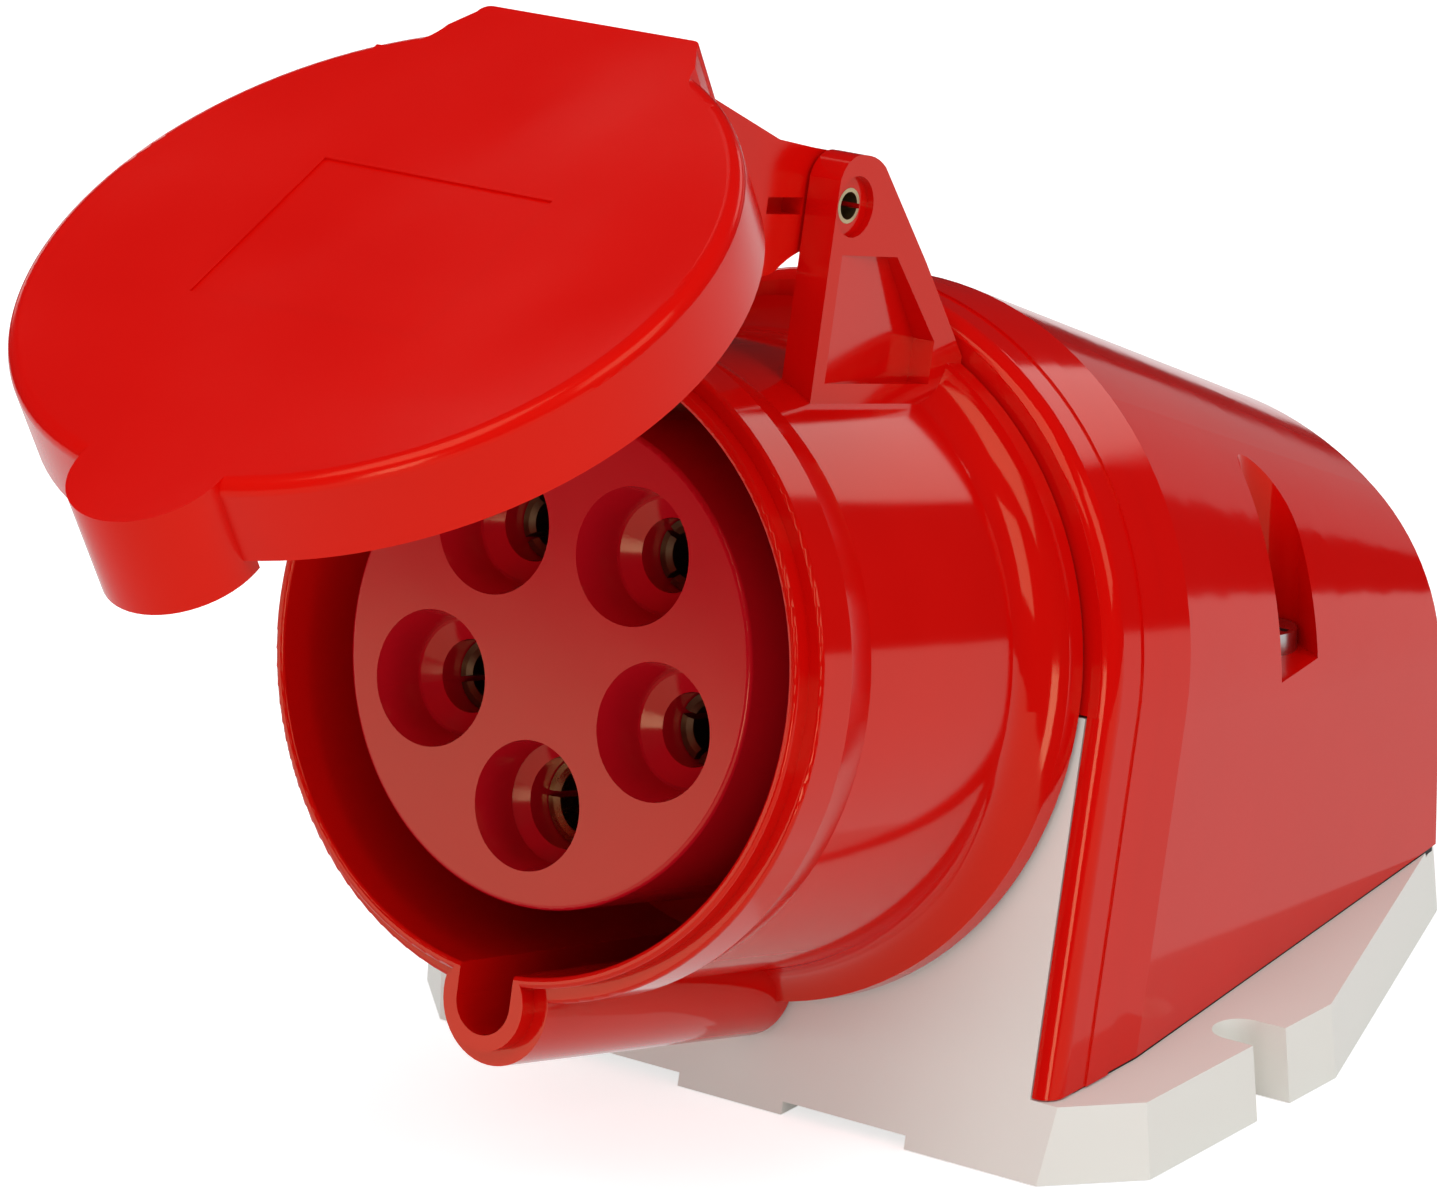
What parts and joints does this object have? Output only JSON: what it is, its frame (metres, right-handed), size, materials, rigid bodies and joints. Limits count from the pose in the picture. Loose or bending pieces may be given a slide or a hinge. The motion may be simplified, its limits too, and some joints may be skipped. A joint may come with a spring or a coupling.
{
  "type": "industrial wall socket",
  "caption": "Surface-mounted industrial power outlet: leaning round socket with hinged lid, red hood, grey wall box with open mounting slots.",
  "frame": {"origin": "middle of the line through the two mounting slots, on the wall plane", "axes": "+Z away from the wall, +Y towards the cable entry, +X sideways"},
  "size_m": [0.097, 0.2042, 0.1203],
  "materials": {
    "red_shell": "moulded, glossy",
    "red_hood": "moulded, glossy",
    "red_lid": "moulded, glossy",
    "red_insert": "moulded, satin",
    "grey_box": "moulded, light grey",
    "brass_contact": "turned",
    "steel_screw": "zinc plated",
    "pin_steel": "rolled strip",
    "spring_steel": "drawn wire",
    "seal_rubber": "moulded seal",
    "gland_plastic": "moulded grey",
    "retainer_plastic": "moulded black"
  },
  "bodies": {
    "housing": {"base_box": "grey_box", "hood": "red_hood", "hood_gasket": "seal_rubber", "hood_screws": "steel_screw", "socket_shell": "red_shell", "socket_gasket": "seal_rubber", "contact_carrier": "red_insert", "contact_retainer": "retainer_plastic", "carrier_screws": "steel_screw", "contact_l1": "brass_contact", "contact_l2": "brass_contact", "contact_l3": "brass_contact", "contact_neutral": "brass_contact", "contact_earth": "brass_contact", "terminal_screws": "steel_screw", "hinge_pin": "pin_steel", "gland_body": "gland_plastic", "gland_seal": "seal_rubber", "gland_nut": "gland_plastic", "gland_locknut": "gland_plastic"},
    "lid": {"lid": "red_lid", "lid_gasket": "seal_rubber", "lid_spring": "spring_steel"}
  },
  "joints": [
    {"name": "lid_hinge", "type": "hinge", "parent": "housing", "child": "lid", "pos_m": [0, -0.02983, 0.09964], "axis": [-1, 0, 0], "range_deg": [-53, 57]}
  ]
}
